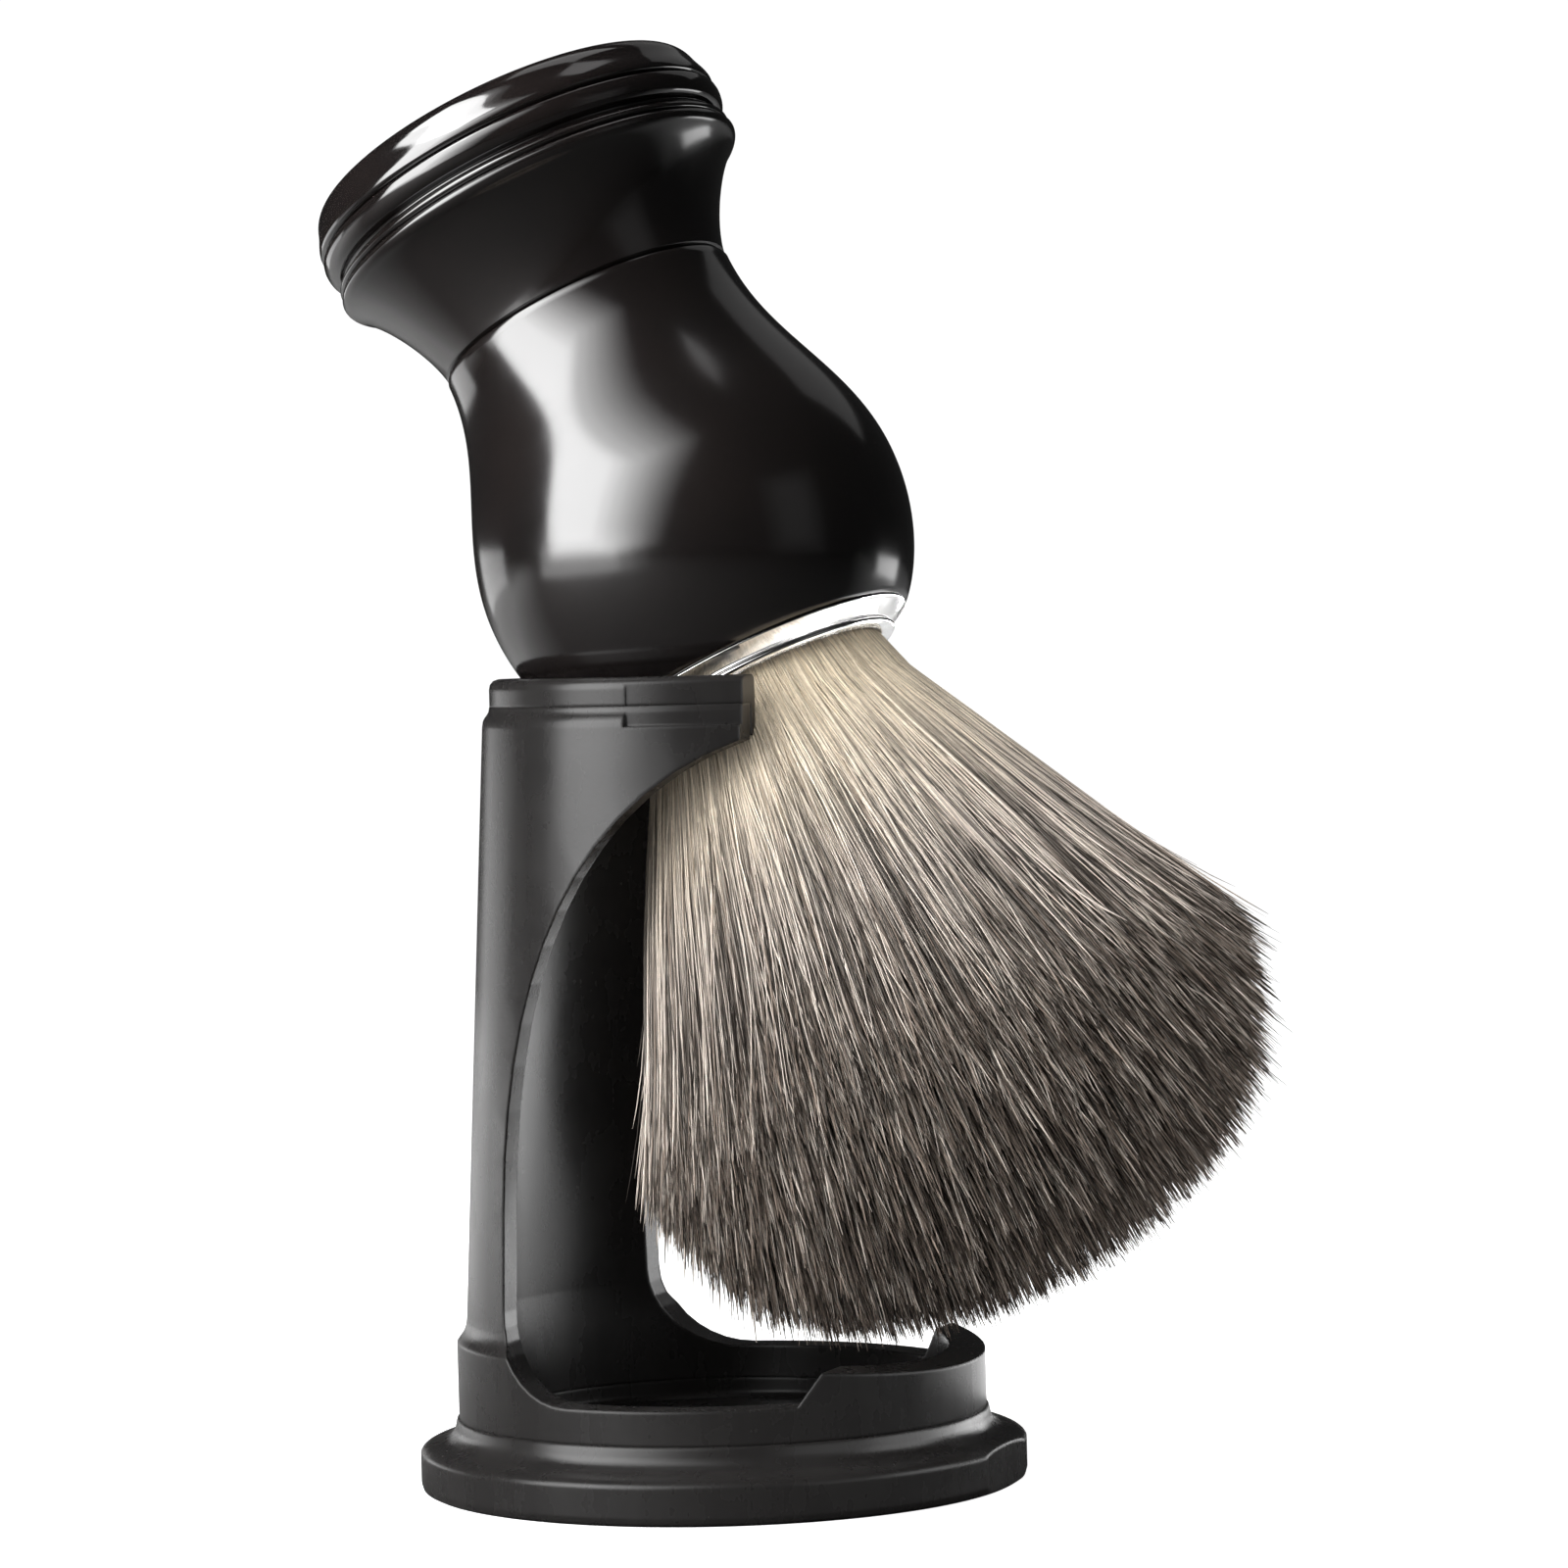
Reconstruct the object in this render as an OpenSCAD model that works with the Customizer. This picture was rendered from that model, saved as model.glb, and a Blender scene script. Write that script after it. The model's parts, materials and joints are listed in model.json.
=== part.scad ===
// Shaving brush hanging hair-down in its moulded stand.
// Millimetres. +Z up, origin at the centre of the foot's underside.
// +X is the stand's open front, the side the hair leans out over.

/* [Stand foot] */
// outer radius of the foot
foot_r = 25.1; // [24.6:0.1:26.6]
// height of the foot's upright edge
foot_edge_h = 3.15; // [2.8:0.05:3.4]
// height where the foot meets the shell
foot_top_z = 5.9; // [5.6:0.1:6.2]
// depth of the small flat at the front of the foot's rim
front_flat = 0.5; // [0.3:0.05:0.7]
// thickness of the soft disc let into the underside
pad_t = 2.0; // [1.6:0.1:2.2]

/* [Stand shell] */
// outer radius of the low wall just above the foot
wall_r = 21.85; // [21.7:0.05:22.0]
// wall thickness of the shell
wall_t = 2.15; // [1.9:0.05:2.3]
// height of the side sills under the window
sill_z = 8.7; // [8.2:0.1:9.4]
// height of the front lip at its ends
lip_z = 11.3; // [10.6:0.1:11.6]
// height of the lip at the very front
lip_front_z = 10.35; // [9.8:0.05:10.6]
// how far back the planes of the column's two edges stand
column_x = 12.2; // [11.6:0.1:13.0]
// radius of the window's lower back corner
window_fillet = 7; // [5:0.5:8]
// outer radius at the foot of the column
column_low_r = 20.98; // [20.7:0.02:21.1]
// outer radius at the top of the column
column_top_r = 18.42; // [18.2:0.02:18.6]

/* [Stand collar] */
// outer radius of the collar the brush hangs in
collar_r = 17.8; // [17.6:0.05:17.9]
// inner radius of the collar
collar_bore_r = 15.45; // [15.35:0.05:15.6]
// height of the collar's top face
collar_top_z = 66.8; // [66.4:0.1:66.9]
// how far forward the two arms reach
arm_x = 9.15; // [8.2:0.05:9.4]

/* [Brush] */
// lean of the hanging brush from upright, in degrees
lean = 26.3; // [25.8:0.1:26.8]
// how far the brush is turned off the stand's middle plane, in degrees
skew = 5; // [3:0.5:6]
// largest radius of the cap end
cap_r = 18.1; // [17.6:0.1:18.4]
// radius of the waist
waist_r = 12.85; // [12.2:0.05:13.2]
// largest radius of the lower handle
bulb_r = 18.15; // [17.6:0.05:18.2]
// radius of the chrome collar where it meets the handle
chrome_r = 13.7; // [13.3:0.1:13.8]
// radius of the hair where it leaves the chrome
knot_r = 10.9; // [10.5:0.1:11.1]
// largest radius of the splayed hair
bloom_r = 26.4; // [25.0:0.2:26.6]
// distance from the cap to the tip of the hair
brush_len = 105.9; // [103:0.1:106.1]

/* [Hidden] */
$fn = 96;
seam = 0.05;
seat = [4.6, 0, 66.72];
seat_s = 50.5;
cap_end_s = 3.72;
band_end_s = 7.2;
waist_s = 17.25;
ring_s = 50.2;
ring_end_s = 51.42;
lip_end_s = 51.96;
shoulder_z = 64.5;
stud_r = 3.0;
tongue_in_r = 19.6;
tongue_out_r = 20.95;
tongue_h = 1.0;
core_r = 11.15;

// point on a cubic curve through a and d, steered by b and c
function curve_pt(a, b, c, d, t) =
  pow(1 - t, 3) * a + 3 * t * pow(1 - t, 2) * b + 3 * t * t * (1 - t) * c + pow(t, 3) * d;

// points along the curve, the first left out so curves can be chained
function curve(a, b, c, d, n) = [for (i = [1:n]) curve_pt(a, b, c, d, i / n)];

// the brush stands cap down on the origin while it is drawn, then hangs in the collar
module hang() {
  translate(seat)
    rotate([0, 180 - lean, -skew])
      translate([0, 0, -seat_s])
        children();
}

module turn(points) {
  rotate_extrude($fn = 96)
    polygon(points);
}

// side profile of everything cut away to open the stand, drawn in X and Z
module window_shape() {
  arm_low_z = 61.6;
  arch_z = 24;
  f = window_fillet;
  polygon(concat(
    [[arm_x, 80], [arm_x, arm_low_z]],
    curve([arm_x, arm_low_z], [-3, 57], [-column_x, 43], [-column_x, arch_z], 14),
    [[-column_x, sill_z + f]],
    [for (a = [190:10:270]) [-column_x + f + f * cos(a), sill_z + f + f * sin(a)]],
    [[13.1, sill_z], [14.75, lip_z], [wall_r, lip_front_z], [32, lip_front_z - 1.3], [32, 80]]));
}

module base_pad() {
  color([0.05, 0.05, 0.055])
    turn([[0, 0], [22.3, 0], [22.3, pad_t], [0, pad_t]]);
}

module stand_foot() {
  r = foot_r;
  top = foot_top_z;
  well_r = column_low_r - wall_t;
  color([0.09, 0.09, 0.095])
    difference() {
      turn(concat(
        [[0, pad_t], [22.35, pad_t], [22.35, 0], [r - 0.6, 0], [r - 0.15, 0.22], [r, 0.7], [r, foot_edge_h]],
        curve([r, foot_edge_h], [r - 0.15, 3.62], [24.2, 3.8], [23.4, 3.97], 6),
        curve([23.4, 3.97], [22.65, 4.12], [22.2, 4.65], [22.12, 5.4], 6),
        [[22.03, top - 0.1], [21.9, top]],
        [[tongue_out_r + seam, top], [tongue_out_r + seam, top - tongue_h - seam]],
        [[tongue_in_r - seam, top - tongue_h - seam], [tongue_in_r - seam, top]],
        [[well_r, top], [well_r, 4.65], [well_r - 0.45, 4.2], [0, 4.2]]));
      // the small flat at the very front of the rim
      translate([r - front_flat, -10, -1])
        cube([5, 20, 6]);
    }
}

module stand_shell() {
  t = wall_t;
  color([0.1, 0.1, 0.105])
    difference() {
      turn(concat(
        [[column_low_r - t, foot_top_z], [tongue_in_r, foot_top_z], [tongue_in_r, foot_top_z - tongue_h]],
        [[tongue_out_r, foot_top_z - tongue_h], [tongue_out_r, foot_top_z], [wall_r, foot_top_z], [wall_r, 12.2]],
        curve([wall_r - 0.05, 12.33], [21.45, 12.65], [column_low_r + 0.02, 13.2], [column_low_r, 14.4], 6),
        [[column_top_r, 62.9]],
        curve([column_top_r, 62.9], [column_top_r - 0.05, 63.9], [collar_r, 63.7], [collar_r, shoulder_z], 5),
        [[column_top_r - t, shoulder_z], [column_low_r - t, 14.4]]));
      translate([0, 40, 0])
        rotate([90, 0, 0])
          linear_extrude(height = 80)
            window_shape();
      arm_rebate(collar_r + 0.1, 62.85);
    }
}

// the sharp-edged band let into the outside of both arms, down to radius r, above height z
module arm_rebate(r, z) {
  difference() {
    translate([0.15, -30, z])
      cube([30, 60, 12]);
    translate([0, 0, z - 1])
      cylinder(r = r, h = 14);
  }
}

module stand_collar() {
  r = collar_r;
  b = collar_bore_r;
  plug_r = column_top_r - wall_t - seam - 0.05;
  color([0.1, 0.1, 0.105])
    difference() {
      turn([
        [b + 0.45, 61.9], [plug_r - 0.1, 61.9], [plug_r, shoulder_z],
        [r - 0.03, shoulder_z], [r - 0.03, collar_top_z - 0.85], [r - 0.12, collar_top_z - 0.45],
        [r - 0.38, collar_top_z - 0.14], [r - 0.8, collar_top_z], [b + 0.35, collar_top_z], [b, collar_top_z - 0.35], [b, 62.9]]);
      arm_rebate(collar_r - 0.11, 60);
      translate([arm_x, -30, 50])
        cube([40, 60, 40]);
      translate([0, 40, 0])
        rotate([90, 0, 0])
          linear_extrude(height = 80)
            window_shape();
    }
}

module end_cap() {
  r = cap_r;
  color([0.03, 0.03, 0.032])
    hang()
      turn(concat(
        [[0, -0.6], [11, -0.42], [15.4, -0.16]],
        curve([15.4, -0.16], [16.7, 0], [17.2, 0.6], [17.45, 1.6], 5),
        [[r - 0.1, 3.1], [r - 0.1, 3.5], [r - 0.3, cap_end_s]],
        [[9, cap_end_s], [9, 9.5], [0, 9.5]]));
}

module cap_band() {
  r = cap_r;
  color([0.03, 0.03, 0.032])
    hang()
      turn(concat(
        [[9 + seam, cap_end_s], [r - 0.3, cap_end_s], [r - 0.02, cap_end_s + 0.16], [r + 0.05, 4.4]],
        curve([r + 0.05, 4.4], [r + 0.02, 5.3], [r - 0.25, 5.85], [r - 0.95, 5.92], 5),
        [[r - 0.95, 6.38]],
        curve([r - 0.95, 6.38], [r - 0.2, 6.42], [r - 0.2, 7.08], [r - 0.55, band_end_s], 5),
        [[9 + seam, band_end_s]]));
}

module handle_neck() {
  r = cap_r;
  color([0.035, 0.033, 0.035])
    hang()
      turn(concat(
        [[9 + seam, band_end_s], [r - 0.55, band_end_s]],
        curve([r - 0.55, band_end_s], [r + 0.05, 7.3], [r + 0.05, 8.0], [17.5, 8.42], 5),
        curve([17.5, 8.42], [16.0, 9.5], [13.5, 13.4], [waist_r - 0.05, 16.6], 12),
        [[waist_r - 0.12, 16.95], [waist_r - 0.4, waist_s]],
        [[stud_r + seam, waist_s], [stud_r + seam, 9.55], [9 + seam, 9.55]]));
}

module handle_bulb() {
  w = waist_r;
  b = bulb_r;
  color([0.035, 0.033, 0.035])
    hang()
      turn(concat(
        [[stud_r + seam, waist_s], [w - 0.4, waist_s], [w - 0.1, waist_s + 0.12], [w, waist_s + 0.35]],
        curve([w, waist_s + 0.35], [w, 25.5], [b, 30.5], [b, 38.3], 16),
        curve([b, 38.3], [b, 43.5], [16.05, 47.7], [14.25, 49.75], 12),
        [[13.95, 50.02], [chrome_r - 0.25, ring_s]],
        [[core_r + seam, ring_s], [core_r + seam, 28], [stud_r + seam, 28]]));
}

module joining_stud() {
  color([0.7, 0.7, 0.7])
    hang()
      translate([0, 0, 9.55])
        cylinder(r = stud_r, h = 18.4);
}

module handle_weight() {
  color([0.6, 0.6, 0.6])
    hang()
      translate([0, 0, 28.05])
        cylinder(r = core_r - 0.05, h = 7.9);
}

module chrome_collar() {
  color([0.85, 0.85, 0.86])
    hang()
      turn(concat(
        [[core_r, 45.2], [core_r, ring_s], [chrome_r - 0.1, ring_s], [chrome_r, ring_s + 0.1]],
        [[11.95, ring_end_s - 0.05], [11.78, ring_end_s + 0.02]],
        curve([11.78, ring_end_s + 0.02], [12.15, 51.5], [12.15, 51.9], [11.65, lip_end_s], 6),
        [[10.95, lip_end_s], [10.5, 51.6], [10.35, 51.1], [10.35, 45.2]]));
}

module knot_cup() {
  color([0.2, 0.2, 0.2])
    hang()
      turn([[0, 36.05], [10.3, 36.05], [10.3, 50.4], [9.35, 50.4], [9.35, 37.05], [0, 37.05]]);
}

module knot_resin() {
  color([0.55, 0.45, 0.25])
    hang()
      translate([0, 0, 37.05])
        cylinder(r = 9.3, h = 8);
}

module hair_knot() {
  k = knot_r;
  l = brush_len;
  color([0.75, 0.71, 0.62])
    hang()
      turn(concat(
        [[0, 45.05], [9.3, 45.05], [9.3, 50.4], [10.2, 51.1], [10.35, 51.7], [k - 0.1, 52.3], [k + 0.2, 54]],
        curve([k + 0.2, 54], [k + 0.8, 58.4], [19.2, 71], [24.9, 81.5], 10),
        curve([24.9, 81.5], [bloom_r + 0.6, 85], [bloom_r + 0.6, 90.5], [23.6, 95.8], 8),
        curve([23.6, 95.8], [19.5, 102.4], [11, l], [0, l], 10)));
}

base_pad();
stand_foot();
stand_shell();
stand_collar();
end_cap();
cap_band();
handle_neck();
handle_bulb();
joining_stud();
handle_weight();
chrome_collar();
knot_cup();
knot_resin();
hair_knot();
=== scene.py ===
import json
import math

import bmesh
import bpy
import numpy as np
from mathutils import Matrix, Vector

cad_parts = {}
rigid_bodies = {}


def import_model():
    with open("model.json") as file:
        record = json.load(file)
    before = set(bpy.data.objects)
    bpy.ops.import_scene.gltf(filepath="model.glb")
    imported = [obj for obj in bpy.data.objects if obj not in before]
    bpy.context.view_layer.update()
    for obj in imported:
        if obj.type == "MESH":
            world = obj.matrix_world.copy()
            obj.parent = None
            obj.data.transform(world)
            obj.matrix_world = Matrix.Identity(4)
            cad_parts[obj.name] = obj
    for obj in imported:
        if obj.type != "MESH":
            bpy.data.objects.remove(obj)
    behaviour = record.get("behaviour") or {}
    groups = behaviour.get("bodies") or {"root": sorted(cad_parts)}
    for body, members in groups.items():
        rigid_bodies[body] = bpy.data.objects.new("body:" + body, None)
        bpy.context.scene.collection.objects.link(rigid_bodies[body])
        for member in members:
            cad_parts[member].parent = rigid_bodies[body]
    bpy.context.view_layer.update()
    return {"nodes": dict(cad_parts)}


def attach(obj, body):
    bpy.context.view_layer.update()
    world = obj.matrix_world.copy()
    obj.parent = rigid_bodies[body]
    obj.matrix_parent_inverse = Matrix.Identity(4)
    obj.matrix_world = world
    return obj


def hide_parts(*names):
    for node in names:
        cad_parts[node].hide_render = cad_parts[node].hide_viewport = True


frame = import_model()
nodes = frame["nodes"]

MM = 0.001

# The brush is drawn along its own axis, from the cap at 0 to the hair's tips at about 107 mm.
# HANG then hangs it hair-down in the stand, leaning forwards and turned a little to one side.
LEAN, SKEW = math.radians(26.3), math.radians(5.0)
SEAT = Vector((4.6, 0.0, 66.72)) * MM  # the point of the brush's axis at the stand's top
SEAT_S = 50.5 * MM  # how far along the brush that point is
HANG = (
    Matrix.Translation(SEAT)
    @ Matrix.Rotation(-SKEW, 4, "Z")
    @ Matrix.Rotation(math.pi - LEAN, 4, "Y")
    @ Matrix.Translation((0, 0, -SEAT_S))
)


# ---------------------------------------------------------------- helpers
def link(name, mesh, body, slot, material, *instead):
    """A new piece that rides on a body, with the nodes it stands for; slot is not used."""
    o = bpy.data.objects.new(name, mesh)
    bpy.context.scene.collection.objects.link(o)
    o.data.materials.append(material)
    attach(o, body)
    if instead:
        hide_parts(*instead)
    return o


def curve(a, b, c, d, n):
    """Points of a cubic curve after its first."""
    a, b, c, d = (np.array(p, float) for p in (a, b, c, d))
    t = (np.arange(1, n + 1) / n)[:, None]
    pts = (1 - t) ** 3 * a + 3 * t * (1 - t) ** 2 * b + 3 * t * t * (1 - t) * c + t**3 * d
    return [tuple(p) for p in pts]


def soften(points, radius):
    """Rounds every corner of a closed profile that turns by more than 20 degrees."""
    pts = [np.array(p, float) for p in points]
    out = []
    for i, p in enumerate(pts):
        a, b = pts[i - 1] - p, pts[(i + 1) % len(pts)] - p
        la, lb = np.linalg.norm(a), np.linalg.norm(b)
        turn = math.degrees(math.acos(np.clip(-(a @ b) / (la * lb), -1, 1)))
        if turn < 20 or p[0] < 1e-6:
            out.append(tuple(p))
            continue
        r = min(radius, la * 0.45, lb * 0.45)
        s, e = p + a / la * r, p + b / lb * r
        out.append(tuple(s))
        out += curve(s, s + (p - s) * 0.6, e + (p - e) * 0.6, e, 5)
    return out


def lathe(name, points, matrix, steps=256):
    """A closed turned solid from a closed profile of (radius, height) in millimetres."""
    pts = [p for i, p in enumerate(points) if np.hypot(*(np.array(p) - points[i - 1])) > 1e-5]
    verts, rings = [], []
    for r, s in pts:
        if r < 1e-6:
            rings.append([len(verts)])
            verts.append((0, 0, s * MM))
        else:
            rings.append(list(range(len(verts), len(verts) + steps)))
            for k in range(steps):
                a = 2 * math.pi * k / steps
                verts.append((r * MM * math.cos(a), r * MM * math.sin(a), s * MM))
    faces = []
    for i, ring in enumerate(rings):
        nxt = rings[(i + 1) % len(rings)]
        if len(ring) == 1 and len(nxt) == 1:
            continue
        for k in range(steps):
            j = (k + 1) % steps
            if len(ring) == 1:
                faces.append((ring[0], nxt[j], nxt[k]))
            elif len(nxt) == 1:
                faces.append((ring[k], ring[j], nxt[0]))
            else:
                faces.append((ring[k], ring[j], nxt[j], nxt[k]))
    mesh = bpy.data.meshes.new(name)
    mesh.from_pydata([matrix @ Vector(v) for v in verts], [], faces)
    mesh.validate()
    face_outwards(mesh)
    mesh.shade_smooth()
    mesh.set_sharp_from_angle(angle=math.radians(38))
    return mesh


def face_outwards(mesh):
    bm = bmesh.new()
    bm.from_mesh(mesh)
    bmesh.ops.recalc_face_normals(bm, faces=bm.faces)
    bm.to_mesh(mesh)
    bm.free()


class Mat:
    """A small builder for procedural materials."""

    def __init__(self, name):
        self.m = bpy.data.materials.new(name)
        self.m.use_nodes = True
        self.t = self.m.node_tree
        self.bsdf = self.t.nodes["Principled BSDF"]

    def new(self, kind, **values):
        n = self.t.nodes.new(kind)
        for k, v in values.items():
            if hasattr(n, k):
                setattr(n, k, v)
            else:
                n.inputs[k.replace("_", " ")].default_value = v
        return n

    def link(self, a, b):
        self.t.links.new(a, b)

    def set(self, **values):
        for k, v in values.items():
            self.bsdf.inputs[k.replace("_", " ")].default_value = v

    def coords(self):
        return self.new("ShaderNodeTexCoord").outputs["Object"]

    def noise(self, scale, detail=3.0, rough=0.55, vector=None):
        n = self.new("ShaderNodeTexNoise")
        n.inputs["Scale"].default_value = scale
        n.inputs["Detail"].default_value = detail
        n.inputs["Roughness"].default_value = rough
        self.link(vector or self.coords(), n.inputs["Vector"])
        return n.outputs["Fac"]

    def ramp(self, fac, stops, mode="LINEAR"):
        n = self.new("ShaderNodeValToRGB")
        n.color_ramp.interpolation = mode
        e = n.color_ramp.elements
        while len(e) < len(stops):
            e.new(0.5)
        for el, (p, c) in zip(e, stops):
            el.position = p
            el.color = (*c, 1) if len(c) == 3 else c
        self.link(fac, n.inputs["Fac"])
        return n.outputs["Color"]

    def range(self, fac, lo, hi, a=0.0, b=1.0):
        n = self.new("ShaderNodeMapRange")
        for k, v in (("From Min", a), ("From Max", b), ("To Min", lo), ("To Max", hi)):
            n.inputs[k].default_value = v
        self.link(fac, n.inputs["Value"])
        return n.outputs["Result"]

    def math(self, op, a, b):
        n = self.new("ShaderNodeMath", operation=op)
        for i, v in enumerate((a, b)):
            if isinstance(v, (int, float)):
                n.inputs[i].default_value = v
            else:
                self.link(v, n.inputs[i])
        return n.outputs[0]

    def bump(self, height, distance, strength=1.0, normal=None):
        n = self.new("ShaderNodeBump")
        n.inputs["Distance"].default_value = distance
        n.inputs["Strength"].default_value = strength
        self.link(height, n.inputs["Height"])
        if normal:
            self.link(normal, n.inputs["Normal"])
        return n.outputs["Normal"]

    def out(self, **links):
        for k, v in links.items():
            self.link(v, self.bsdf.inputs[k.replace("_", " ")])
        return self.m


# ---------------------------------------------------------------- materials
def resin_material(name, low, high):
    """Polished black resin, with its roughness between the two values."""
    m = Mat(name)
    m.set(Specular_IOR_Level=0.5, IOR=1.85)
    cloud = m.noise(60, 2)
    fine = m.noise(5200, 3, 0.6)
    smear = m.noise(420, 4, 0.6)
    return m.out(
        Base_Color=m.ramp(cloud, [(0.3, (0.0035, 0.0030, 0.0030)), (0.7, (0.0075, 0.0058, 0.0054))]),
        Roughness=m.range(smear, low, high, 0.3, 0.7),
        Normal=m.bump(fine, 0.0000016, 0.6),
    )


def plastic_material():
    """Satin moulded plastic, its sharp edges softened by a bevelled normal."""
    m = Mat("moulded_plastic")
    m.set(Specular_IOR_Level=0.36, IOR=1.49)
    grain = m.noise(5200, 2, 0.5)
    blotch = m.noise(170, 4, 0.6)
    streak = m.new("ShaderNodeMapping")
    streak.inputs["Scale"].default_value = (1, 1, 0.12)
    m.link(m.coords(), streak.inputs["Vector"])
    drag = m.noise(900, 3, 0.5, streak.outputs["Vector"])
    edge = m.new("ShaderNodeBevel", samples=6)
    edge.inputs["Radius"].default_value = 0.00038
    tone = m.math("ADD", m.math("MULTIPLY", blotch, 0.7), m.math("MULTIPLY", drag, 0.3))
    return m.out(
        Base_Color=m.ramp(tone, [(0.3, (0.0120, 0.0112, 0.0110)), (0.7, (0.0175, 0.0164, 0.0160))]),
        Roughness=m.range(tone, 0.24, 0.31, 0.3, 0.7),
        Normal=m.bump(grain, 0.00001, 0.5, m.bump(blotch, 0.00006, 0.2, edge.outputs["Normal"])),
    )


def rubber_material():
    m = Mat("pad_rubber")
    m.set(Specular_IOR_Level=0.4)
    grain = m.noise(2600, 4, 0.6)
    return m.out(
        Base_Color=m.ramp(grain, [(0.3, (0.018, 0.018, 0.019)), (0.7, (0.032, 0.032, 0.034))]),
        Roughness=m.range(grain, 0.75, 0.95),
        Normal=m.bump(grain, 0.00004, 0.7),
    )


def chrome_material():
    m = Mat("polished_chrome")
    m.set(Metallic=1.0)
    smear = m.noise(500, 4, 0.6)
    fine = m.noise(3000, 2, 0.5)
    return m.out(
        Base_Color=m.ramp(smear, [(0.3, (0.78, 0.775, 0.77)), (0.7, (0.86, 0.855, 0.85))]),
        Roughness=m.range(smear, 0.06, 0.13, 0.3, 0.7),
        Normal=m.bump(fine, 0.000002, 0.5),
    )


def steel_material():
    m = Mat("turned_steel")
    m.set(Metallic=1.0)
    turn = m.noise(1800, 3, 0.6)
    return m.out(
        Base_Color=m.ramp(turn, [(0.3, (0.42, 0.42, 0.43)), (0.7, (0.58, 0.58, 0.59))]),
        Roughness=m.range(turn, 0.25, 0.42),
        Normal=m.bump(turn, 0.00001, 0.5),
    )


def cup_material():
    m = Mat("cup_plastic")
    grain = m.noise(2500, 3)
    return m.out(
        Base_Color=m.ramp(grain, [(0.3, (0.06, 0.06, 0.06)), (0.7, (0.1, 0.1, 0.1))]),
        Roughness=m.range(grain, 0.45, 0.6),
        Normal=m.bump(grain, 0.00002, 0.5),
    )


def glue_material():
    m = Mat("set_glue")
    m.set(Transmission_Weight=0.2)
    cloud = m.noise(700, 4)
    return m.out(
        Base_Color=m.ramp(cloud, [(0.3, (0.4, 0.27, 0.09)), (0.7, (0.55, 0.4, 0.16))]),
        Roughness=m.range(cloud, 0.2, 0.35),
        Normal=m.bump(cloud, 0.00005, 0.5),
    )


def hair_material():
    """Takes each hair's own colour from the mesh and mottles it."""
    m = Mat("badger_hair")
    m.set(Specular_IOR_Level=0.22)
    tone = m.new("ShaderNodeVertexColor", layer_name="hair_tone")
    fine = m.noise(3000, 2, 0.5)
    mix = m.new("ShaderNodeMix", data_type="RGBA", blend_type="MULTIPLY")
    mix.inputs["Factor"].default_value = 1.0
    m.link(tone.outputs["Color"], mix.inputs["A"])
    m.link(m.ramp(fine, [(0.3, (0.85, 0.85, 0.85)), (0.7, (1.0, 1.0, 1.0))]), mix.inputs["B"])
    return m.out(
        Base_Color=mix.outputs["Result"],
        Roughness=m.range(fine, 0.5, 0.65, 0.3, 0.7),
    )


# ---------------------------------------------------------------- handle
# Closed profiles of (radius, distance along the brush) in millimetres, the same as the CAD nodes'.
RESIN = resin_material("gloss_resin", 0.135, 0.17)
CAP_RESIN = resin_material("cap_resin", 0.075, 0.11)
CHROME = chrome_material()

cap = (
    [(0, -0.6)]
    + curve((0, -0.6), (6, -0.6), (11, -0.42), (15.2, -0.18), 12)
    + curve((15.2, -0.18), (16.5, -0.1), (17.15, 0.5), (17.42, 1.5), 14)
    + curve((17.42, 1.5), (17.6, 2.1), (17.92, 2.6), (18.0, 3.1), 6)
    + [(18.0, 3.45), (17.72, 3.7), (9, 3.72), (9, 9.5), (0, 9.5)]
)
band = (
    [(9.05, 3.74), (17.72, 3.75), (18.08, 3.98), (18.15, 4.4)]
    + curve((18.15, 4.4), (18.15, 5.25), (17.85, 5.86), (17.1, 5.92), 14)
    + [(17.02, 6.1), (17.1, 6.38)]
    + curve((17.1, 6.38), (17.95, 6.42), (17.95, 7.08), (17.5, 7.18), 10)
    + [(9.05, 7.18)]
)
neck = (
    [(9.05, 7.2), (17.45, 7.2)]
    + curve((17.45, 7.2), (18.15, 7.3), (18.15, 8.0), (17.5, 8.42), 12)
    + curve((17.5, 8.42), (16.0, 9.5), (13.5, 13.4), (12.8, 16.6), 40)
    + [(12.74, 16.95), (12.5, 17.15), (12.35, 17.22), (3.05, 17.24), (3.05, 9.55), (9.05, 9.55)]
)
bulb = (
    [(3.05, 17.26), (12.4, 17.26), (12.72, 17.36), (12.83, 17.6)]
    + curve((12.83, 17.6), (12.85, 25.5), (18.15, 30.5), (18.15, 38.3), 60)
    + curve((18.15, 38.3), (18.15, 43.5), (16.05, 47.7), (14.25, 49.75), 40)
    + curve((14.25, 49.75), (14.1, 49.95), (13.85, 50.15), (13.5, 50.18), 6)
    + [(11.2, 50.18), (11.2, 28), (3.05, 28)]
)
ring = (
    [(11.15, 45.2), (11.15, 50.2), (13.55, 50.2)]
    + curve((13.55, 50.2), (13.7, 50.22), (13.7, 50.32), (13.62, 50.38), 5)
    + [(12.0, 51.33), (11.82, 51.4)]
    + curve((11.82, 51.4), (12.15, 51.5), (12.15, 51.9), (11.65, 51.96), 10)
    + [(11.0, 51.96)]
    + curve((11.0, 51.96), (10.6, 51.9), (10.35, 51.5), (10.35, 51.0), 6)
    + [(10.35, 45.2)]
)
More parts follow.
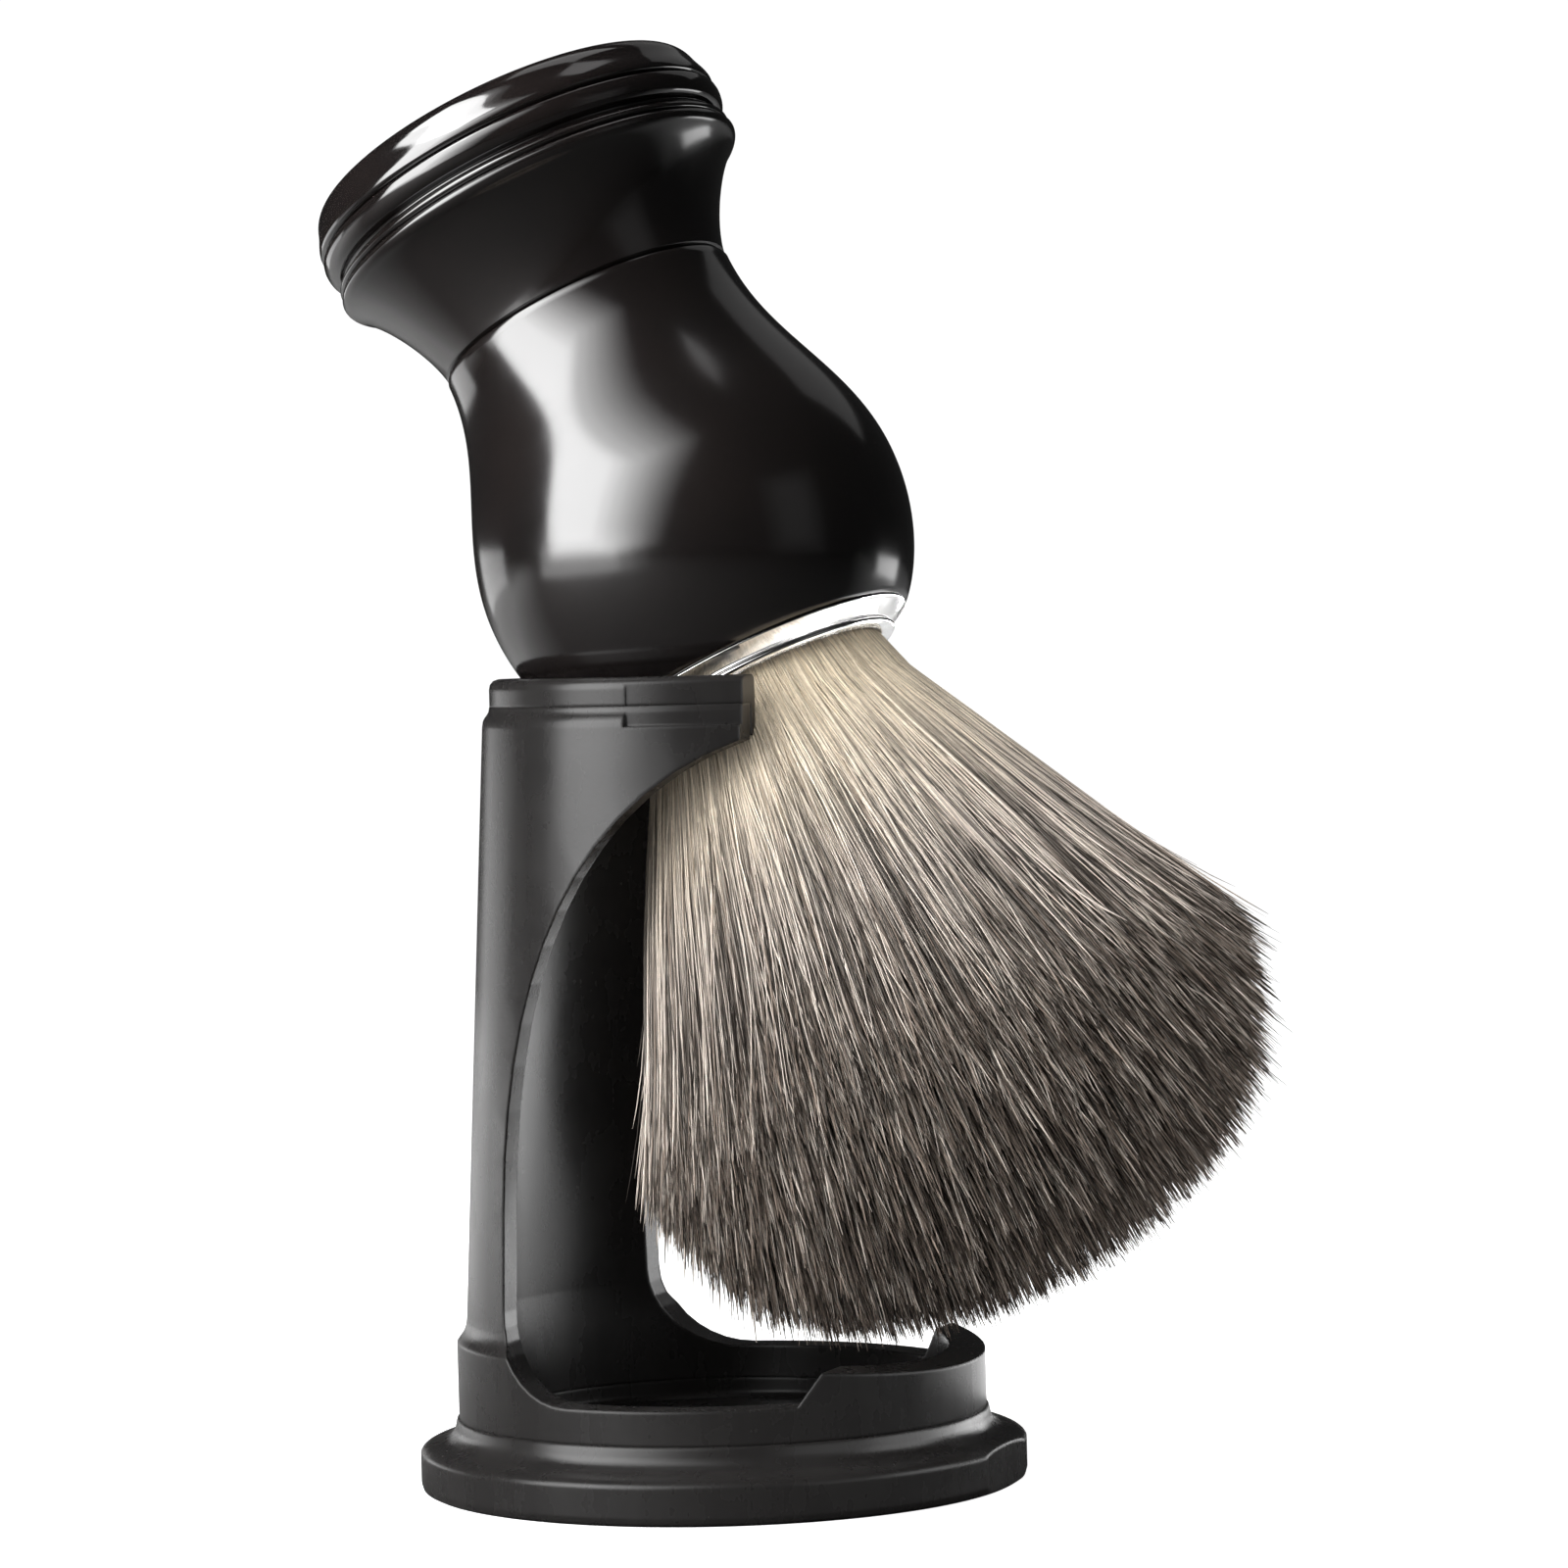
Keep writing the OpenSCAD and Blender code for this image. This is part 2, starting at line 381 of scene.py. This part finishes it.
for name, profile, slot, material, node in (
    ("end_cap_polished", soften(cap, 0.12), "handle_resin", CAP_RESIN, "end_cap"),
    ("cap_band_polished", soften(band, 0.1), "handle_resin", CAP_RESIN, "cap_band"),
    ("neck_polished", neck, "handle_resin", RESIN, "handle_neck"),
    ("bulb_polished", bulb, "handle_resin", RESIN, "handle_bulb"),
    ("collar_plated", ring, "chrome", CHROME, "chrome_collar"),
):
    link(name, lathe(name, profile, HANG), "brush", slot, material, node)

# ---------------------------------------------------------------- carried-over nodes
PLASTIC = plastic_material()
STEEL = steel_material()
for name, material in (
    ("stand_foot", PLASTIC),
    ("stand_shell", PLASTIC),
    ("stand_collar", PLASTIC),
    ("base_pad", rubber_material()),
    ("joining_stud", STEEL),
    ("handle_weight", STEEL),
    ("knot_cup", cup_material()),
    ("knot_resin", glue_material()),
):
    data = nodes[name].data
    data.materials.clear()
    data.materials.append(material)


# ---------------------------------------------------------------- hair
ROOT = 50.6  # where the hair leaves the chrome ring, in millimetres along the brush
SPREAD = 0.975  # the outermost root, as a share of the outline
# (distance along, radius) of the outline the hair would have if it went on spreading
FLARE = np.array([
    (50.0, 10.3), (52.0, 10.75), (54.0, 11.3), (56.5, 12.5), (60.2, 14.6),
    (63.4, 16.3), (66.7, 18.1), (69.9, 19.8), (73.2, 21.6), (76.4, 23.3),
    (79.6, 25.0), (84.0, 27.1), (90.0, 29.6), (98.0, 32.6), (108.0, 36.0),
])
# (radius, distance along) of the rounded dome where the tips end
DOME = np.array([
    (0.0, 107.2), (5.0, 107.0), (9.9, 106.3), (14.0, 105.0), (18.3, 103.2), (20.8, 101.4),
    (22.9, 99.6), (24.6, 97.0), (25.9, 94.0), (26.8, 91.0), (27.4, 88.6), (27.7, 86.6),
])
STATIONS = np.array([0, 0.14, 0.30, 0.46, 0.61, 0.75, 0.87, 0.95, 1.0])  # along each hair


def flare(s):
    """The outline's radius."""
    return np.interp(s, FLARE[:, 0], FLARE[:, 1])


def dome(rho):
    """Where a hair at that share of the outline reaches the dome."""
    s = np.linspace(84, 108, 480)
    r_dome = np.interp(s, DOME[::-1, 1], DOME[::-1, 0])
    gap = np.abs(rho[:, None] * flare(s)[None, :] - r_dome[None, :])
    return s[gap.argmin(1)]


def strands(count, rng, low, high, stray=False):
    """Root-to-tip paths of one layer of hair, and the clump that each hair leans towards."""
    rho = np.sqrt(rng.uniform(low**2, high**2, count)) * SPREAD
    theta = rng.uniform(0, 2 * np.pi, count)
    tip = dome(rho) + rng.normal(0, 0.28, count) - rng.exponential(1.6, count)
    clumps = max(60, count // 12)
    c_rho = np.sqrt(rng.uniform(low**2, high**2, clumps)) * SPREAD
    c_theta = rng.uniform(0, 2 * np.pi, clumps)
    cx, cy = c_rho * np.cos(c_theta), c_rho * np.sin(c_theta)
    x, y = rho * np.cos(theta), rho * np.sin(theta)
    near = np.array([((cx - a) ** 2 + (cy - b) ** 2).argmin() for a, b in zip(x, y)])
    pull = rng.uniform(0.0, 0.35, count)
    t = STATIONS
    s = ROOT + (tip - ROOT)[:, None] * t[None, :]
    grow = np.clip((t - 0.15) / 0.6, 0, 1) * np.interp(t, [0.8, 1.0], [1.0, 0.6])
    px = x[:, None] + (cx[near] - x)[:, None] * pull[:, None] * grow
    py = y[:, None] + (cy[near] - y)[:, None] * pull[:, None] * grow
    wave = rng.normal(0, 1, (count, 6))
    loose = np.where(rng.uniform(0, 1, count) < 0.22, 2.6, 1.05)
    # hairs cross a little: sideways either way, and inwards, so that the outline stays clean
    drift = t[None, :] ** 1.3
    ripple = 0.22 * wave[:, 1:2] * np.sin(9.0 * t + 2.0 * wave[:, 2:3])
    if stray:
        side = 1.8 * wave[:, :1] * drift + ripple
        inward = 0.5 * wave[:, 3:4] * drift
    else:
        side = loose[:, None] * wave[:, :1] * drift + ripple
        inward = -np.abs(0.55 * wave[:, 3:4]) * drift
    curl = t[None, :] ** 6
    R = flare(s)
    ux, uy = np.cos(theta)[:, None], np.sin(theta)[:, None]
    X = px * R + inward * ux - side * uy + 0.75 * wave[:, 4:5] * curl
    Y = py * R + inward * uy + side * ux + 0.75 * wave[:, 5:6] * curl
    # the hair hangs a little closer on the side towards the column
    X = np.where(X > 0, X * (1 - 0.045 * np.clip((s - 64) / 14, 0, 1)), X)
    return np.stack([X, Y, s], -1), near, clumps


# Hues of the roots, the middle and the dark band, each scaled by a hair's own value.
CREAM = np.array([1.0, 0.855, 0.645])
ASH = np.array([1.0, 0.88, 0.775])
SOOT = np.array([1.0, 0.77, 0.62])


def tones(paths, near, clumps, rng):
    """A colour for every point: cream roots, a dark band from a height of each hair's own, pale tips."""
    count = len(near)
    s = paths[..., 2]
    onset = 70.0 + rng.normal(0, 5.5, count) + rng.normal(0, 3.0, clumps)[near]
    pale = rng.uniform(0, 1, count) < np.where(rng.uniform(0, 1, clumps) < 0.35, 0.75, 0.22)[near]
    onset = onset + pale * rng.uniform(10, 40, count)
    w = np.clip((s - onset[:, None]) / rng.uniform(5, 13, count)[:, None], 0, 1)
    w = w * w * (3 - 2 * w)
    root = rng.normal(0.74, 0.12, count) * (1 + rng.normal(0, 0.06, clumps)[near])
    root = np.clip(root, 0.35, 0.95)
    kind = rng.uniform(0, 1, count)
    dark, grey = rng.uniform(0.08, 0.24, count), rng.uniform(0.3, 0.55, count)
    body = np.where(kind < 0.22, dark, np.where(kind < 0.42, grey, root))
    fade = np.clip((s - 53) / 12, 0, 1)
    root = root[:, None] * (1 - fade) + body[:, None] * fade
    kind = rng.uniform(0, 1, count)
    grey, dark = rng.uniform(0.12, 0.34, count), rng.uniform(0.016, 0.075, count)
    end = np.where(kind < 0.22, grey, dark)
    value = root * (1 - w) + end[:, None] * w
    tip = np.clip((STATIONS[None, :] - 0.86) / 0.14, 0, 1)
    value = value + tip * w * (rng.uniform(0.0, 1.0, count) ** 3 * 0.35)[:, None]
    early = np.clip((s - 54) / 18, 0, 1)
    hue = CREAM + (ASH - CREAM) * early[..., None]
    hue = hue + (SOOT - hue) * (w * 0.8)[..., None]
    return np.clip(value[..., None] * hue, 0.008, 0.93)


def hair_mesh(name, paths, colours, width, rng):
    """Closed three-sided tapering tubes along the paths, one per hair."""
    count, steps, _ = paths.shape
    direction = np.gradient(paths, axis=1)
    direction /= np.linalg.norm(direction, axis=2, keepdims=True)
    side = np.cross(direction, rng.normal(0, 1, (count, 1, 3)))
    side /= np.linalg.norm(side, axis=2, keepdims=True)
    up = np.cross(direction, side)
    taper = np.interp(STATIONS, [0, 0.15, 0.75, 0.95, 1.0], [0.9, 1.0, 0.85, 0.7, 0.22])
    radius = width[:, None] * 0.5 * taper[None, :]
    ring = []
    for a in (0, 2 * np.pi / 3, 4 * np.pi / 3):
        ring.append(paths + (side * math.cos(a) + up * math.sin(a)) * radius[..., None])
    verts = np.stack(ring, 2).reshape(-1, 3) * MM
    base = (np.arange(count) * steps * 3)[:, None, None, None]
    i = (np.arange(steps - 1) * 3)[None, :, None, None]
    k = np.arange(3)[None, None, :, None]
    j = (k + 1) % 3
    quads = np.concatenate([base + i + k, base + i + j, base + i + 3 + j, base + i + 3 + k], -1)
    quads = quads.reshape(-1, 4)
    ends = np.arange(count) * steps * 3
    caps = np.concatenate([
        np.stack([ends + 2, ends + 1, ends], -1),
        np.stack([ends + steps * 3 - 3, ends + steps * 3 - 2, ends + steps * 3 - 1], -1),
    ])
    verts = verts @ np.array(HANG.to_3x3()).T + np.array(HANG.translation)
    mesh = bpy.data.meshes.new(name)
    mesh.vertices.add(len(verts))
    mesh.vertices.foreach_set("co", verts.astype(np.float32).ravel())
    loops = np.concatenate([quads.ravel(), caps.ravel()])
    mesh.loops.add(len(loops))
    mesh.loops.foreach_set("vertex_index", loops.astype(np.int32))
    starts = [np.arange(len(quads)) * 4, len(quads) * 4 + np.arange(len(caps)) * 3]
    starts = np.concatenate(starts)
    mesh.polygons.add(len(starts))
    mesh.polygons.foreach_set("loop_start", starts.astype(np.int32))
    mesh.update(calc_edges=True)
    mesh.shade_smooth()
    layer = mesh.color_attributes.new("hair_tone", "FLOAT_COLOR", "POINT")
    rgba = np.ones((len(verts), 4), np.float32)
    rgba[:, :3] = np.repeat(colours.reshape(-1, 3), 3, axis=0)
    layer.data.foreach_set("color", rgba.ravel())
    return mesh


HAIR = hair_material()


def hair_piece(name, count, span, width, seed, stray=False, instead=()):
    """One layer of hair as one piece; span is its share of the outline and width the hairs' in mm."""
    rng = np.random.default_rng(seed)
    paths, near, clumps = strands(count, rng, *span, stray)
    colours = tones(paths, near, clumps, rng)
    mesh = hair_mesh(name, paths, colours, rng.uniform(*width, count), rng)
    link(name, mesh, "brush", "hair", HAIR, *instead)


hair_piece("hair_heart", 3800, (0.0, 1.0), (0.24, 0.36), 3, instead=("hair_knot",))
hair_piece("hair_crown_a", 3900, (0.0, 0.55), (0.13, 0.20), 12)
hair_piece("hair_crown_b", 3900, (0.45, 0.85), (0.12, 0.19), 13)
hair_piece("hair_body_a", 3900, (0.50, 1.0), (0.14, 0.22), 5)
hair_piece("hair_body_b", 3900, (0.66, 1.0), (0.13, 0.20), 6)
hair_piece("hair_skin_a", 3900, (0.80, 1.0), (0.11, 0.17), 7)
hair_piece("hair_skin_b", 3900, (0.88, 1.0), (0.10, 0.155), 8)
hair_piece("hair_skin_c", 3900, (0.92, 1.0), (0.095, 0.145), 9)
hair_piece("hair_strays", 130, (0.93, 1.0), (0.08, 0.12), 11, stray=True)

# ---------------------------------------------------------------- floor, background, camera
FLOOR_R = 1.25
CENTRE = Vector((0, 0, 0.085))  # the middle of the handle, which the lights face


def floor_material():
    """A pale floor that the camera sees as white, and reflections see as bright behind and dim in front."""
    m = Mat("pale_floor")
    grain = m.noise(30, 3)
    seen = m.new("ShaderNodeLightPath").outputs["Is Camera Ray"]
    glow = m.new("ShaderNodeEmission")
    m.link(seen, glow.inputs["Strength"])
    both = m.new("ShaderNodeAddShader")
    m.link(m.bsdf.outputs[0], both.inputs[0])
    m.link(glow.outputs[0], both.inputs[1])
    m.link(both.outputs[0], m.t.nodes["Material Output"].inputs["Surface"])
    along = m.new("ShaderNodeVectorMath", operation="DOT_PRODUCT")
    m.link(m.coords(), along.inputs[0])
    along.inputs[1].default_value = (-0.35, 0.936, 0)  # away from the camera, along the floor
    behind = m.range(along.outputs["Value"], 0.07, 1.0, 0.0, 0.12)
    shade = m.new("ShaderNodeMix", data_type="RGBA", blend_type="MULTIPLY")
    shade.inputs["Factor"].default_value = 1.0
    m.link(m.ramp(grain, [(0.3, (0.80, 0.80, 0.80)), (0.7, (0.83, 0.83, 0.83))]), shade.inputs["A"])
    m.link(m.math("MAXIMUM", behind, seen), shade.inputs["B"])
    return m.out(Base_Color=shade.outputs["Result"], Roughness=m.range(grain, 0.75, 0.9))


floor_mesh = bpy.data.meshes.new("floor")
corners = [k * math.pi / 48 for k in range(96)]
rim = [(FLOOR_R * math.cos(a), FLOOR_R * math.sin(a), 0) for a in corners]
floor_mesh.from_pydata(rim, [], [tuple(range(96))])
floor_mesh.materials.append(floor_material())
floor = bpy.data.objects.new("floor", floor_mesh)
bpy.context.scene.collection.objects.link(floor)

# the background is white to the camera and nearly dark in reflections
world = bpy.data.worlds.new("studio")
bpy.context.scene.world = world
world.use_nodes = True
background = world.node_tree.nodes["Background"]
background.inputs["Color"].default_value = (1, 1, 1, 1)
rays = world.node_tree.nodes.new("ShaderNodeLightPath")
level = world.node_tree.nodes.new("ShaderNodeMapRange")
level.inputs["To Min"].default_value = 0.02
level.inputs["To Max"].default_value = 1.05
world.node_tree.links.new(rays.outputs["Is Camera Ray"], level.inputs["Value"])
world.node_tree.links.new(level.outputs["Result"], background.inputs["Strength"])

# the photograph's own viewpoint, worked out from the ellipses of the foot and the handle
EYE = Vector((0.164834, -0.422632, 0.069603))
FWD = Vector((-0.350083, 0.936341, -0.026598)).normalized()
RIGHT = FWD.cross(Vector((0.014955, 0.033978, 0.999311)).normalized()).normalized()
UP = RIGHT.cross(FWD)
cam_data = bpy.data.cameras.new("camera")
cam_data.lens = 126
cam_data.sensor_width = 36
cam = bpy.data.objects.new("camera", cam_data)
bpy.context.scene.collection.objects.link(cam)
cam.matrix_world = Matrix.Translation(EYE) @ Matrix((RIGHT, UP, -FWD)).transposed().to_4x4()
cam_data.clip_start, cam_data.clip_end = 0.01, 50
bpy.context.scene.camera = cam


# ---------------------------------------------------------------- lights
def towards(azimuth, elevation, distance):
    """A place round the brush: azimuth 0 is behind the camera and -90 on its left, in degrees."""
    a, e = math.radians(azimuth), math.radians(elevation)
    level = RIGHT * math.sin(a) - FWD * math.cos(a)
    return CENTRE + (level * math.cos(e) + UP * math.sin(e)) * distance


def softbox(name, azimuth, elevation, distance, size, radiance, aim=None):
    """A soft rectangular light facing the brush, clear of the floor; size is in metres."""
    light = bpy.data.lights.new(name, "AREA")
    light.shape = "RECTANGLE"
    light.size, light.size_y = size
    light.energy = radiance * math.pi * size[0] * size[1]
    o = bpy.data.objects.new(name, light)
    bpy.context.scene.collection.objects.link(o)
    o.location = towards(azimuth, elevation, distance)
    o.rotation_mode = "QUATERNION"
    centre = CENTRE if aim is None else Vector((0, 0, aim))
    o.location.z = max(o.location.z, size[1] * 0.5 + 0.002)
    o.rotation_quaternion = (centre - o.location).to_track_quat("-Z", "Y")
    o.visible_camera = False
    return o


# the key light: nested boxes that share an edge on the left and brighten towards it
KEY_STEPS = 9
for k in range(KEY_STEPS):
    f = k / (KEY_STEPS - 1)
    size = (0.80 - 0.52 * f, 0.86 - 0.50 * f)
    softbox(f"key_{k}", -44 - 21 * f, 8 + 10 * f, 0.55 - 0.004 * k, size, 0.35 + 1.3 * f)
softbox("left_back", -132, -6, 0.42, (0.24, 0.07), 1.5, aim=0.03)
softbox("right_back", 122, -10, 0.42, (0.16, 0.05), 2.6, aim=0.02)
softbox("right_dim", 55, 14, 0.9, (0.30, 0.42), 0.06)
softbox("right_wide", 55, 12, 0.95, (0.55, 0.60), 0.05)
softbox("back_high", 150, 40, 0.9, (0.6, 0.4), 0.2)
softbox("overhead", 180, 80, 0.9, (0.5, 0.5), 0.8)
bounce = softbox("bounce", 140, -40, 0.12, (0.12, 0.12), 1.6)
bounce.location.z = 0.004
bounce.rotation_quaternion = Vector((0, 0, 1)).to_track_quat("-Z", "Y")


def only(name, names):
    """A collection of the pieces whose names start so, for lights that are masked to them."""
    c = bpy.data.collections.new(name)
    for o in bpy.data.objects:
        if o.type == "MESH" and o.name.startswith(names) and not o.hide_render:
            c.objects.link(o)
    return c


def masked(receivers, *box, blockers=None, **more):
    """A softbox that lights only the receivers, and that only the blockers shade if some are given."""
    o = softbox(*box, **more)
    o.light_linking.receiver_collection = receivers
    if blockers:
        o.light_linking.blocker_collection = blockers
    return o


hair = only("hair_only", ("hair_",))
stand = only("stand_only", ("stand_",))
caps = only("caps_only", ("end_cap_", "cap_band_"))
plated = only("plated_only", ("collar_plated",))
handle = only("handle_only", ("neck_polished", "bulb_polished"))
not_hair = only("not_hair", ("end_cap_", "cap_band_", "neck_", "bulb_", "stand_"))
masked(caps, "key_top", -66, 48, 0.53, (0.34, 0.20), 8.0)
masked(hair, "hair_front", 12, 6, 0.6, (0.4, 0.4), 3.5)
masked(hair, "hair_right", 72, 0, 0.6, (0.4, 0.4), 2.4)
masked(hair, "hair_back", 165, 20, 0.6, (0.4, 0.4), 1.2)
masked(stand, "stand_front", 48, -2, 0.6, (0.45, 0.3), 1.0)
masked(stand, "stand_side", 86, 4, 0.6, (0.4, 0.4), 3.0)
masked(stand, "left_low", -130, -26, 0.16, (0.16, 0.03), 0.7, aim=0.01)
masked(stand, "right_low", 120, -26, 0.16, (0.12, 0.036), 4.0, aim=0.012)
# lights from below the floor's level, which the floor and the hair don't hold back
LOW_AWAY = 0.35
for name, receivers, azimuth, elevation, size, radiance in (
    ("chrome_low_a", plated, 132, -34, (0.42, 0.34), 60.0),
    ("chrome_low_b", plated, 106, -34, (0.08, 0.34), 60.0),
    ("key_low_a", handle, -62, -16, (0.30, 0.16), 0.9),
    ("key_low_b", handle, -58, -20, (0.36, 0.26), 0.5),
    ("key_low_c", handle, -54, -24, (0.42, 0.36), 0.25),
):
    low = masked(receivers, name, azimuth, elevation, LOW_AWAY, size, radiance, blockers=not_hair)
    low.location = towards(azimuth, elevation, LOW_AWAY)
    low.rotation_quaternion = (CENTRE - low.location).to_track_quat("-Z", "Y")
    low.data.cycles.max_bounces = 0  # so that the chrome doesn't throw it on to the hair

bpy.context.scene.view_settings.view_transform = "Standard"
bpy.context.scene.view_settings.look = "None"
